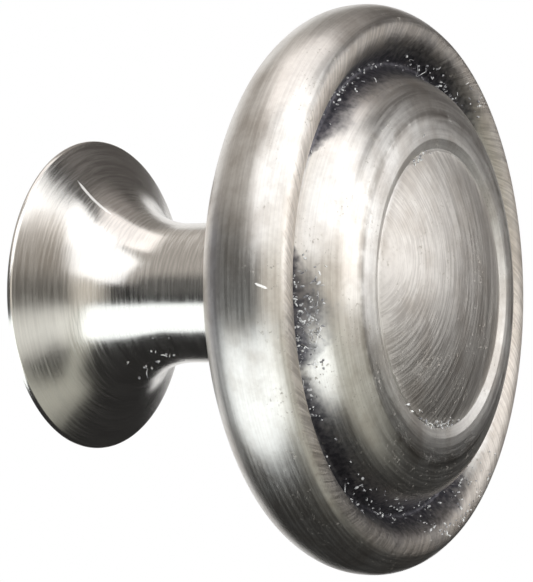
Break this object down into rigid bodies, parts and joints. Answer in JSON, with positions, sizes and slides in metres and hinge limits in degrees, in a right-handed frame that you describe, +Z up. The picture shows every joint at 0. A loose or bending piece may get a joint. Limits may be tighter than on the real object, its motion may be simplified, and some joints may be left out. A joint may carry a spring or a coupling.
{
  "type": "cabinet knob",
  "caption": "Round moulded cabinet knob in satin nickel, on a short stem that flares to a trumpet foot with a blind screw hole.",
  "frame": {"origin": "centre of the foot's seating face, at the mouth of the screw hole", "axes": "as fixed on an upright door: +Z up, -Y out of the door along the knob's axis, +Y into the door"},
  "size_m": [0.0318, 0.0239, 0.0318],
  "materials": {
    "knob": "satin brushed nickel plate on zinc"
  },
  "bodies": {
    "root": {"knob": "knob"}
  },
  "joints": []
}
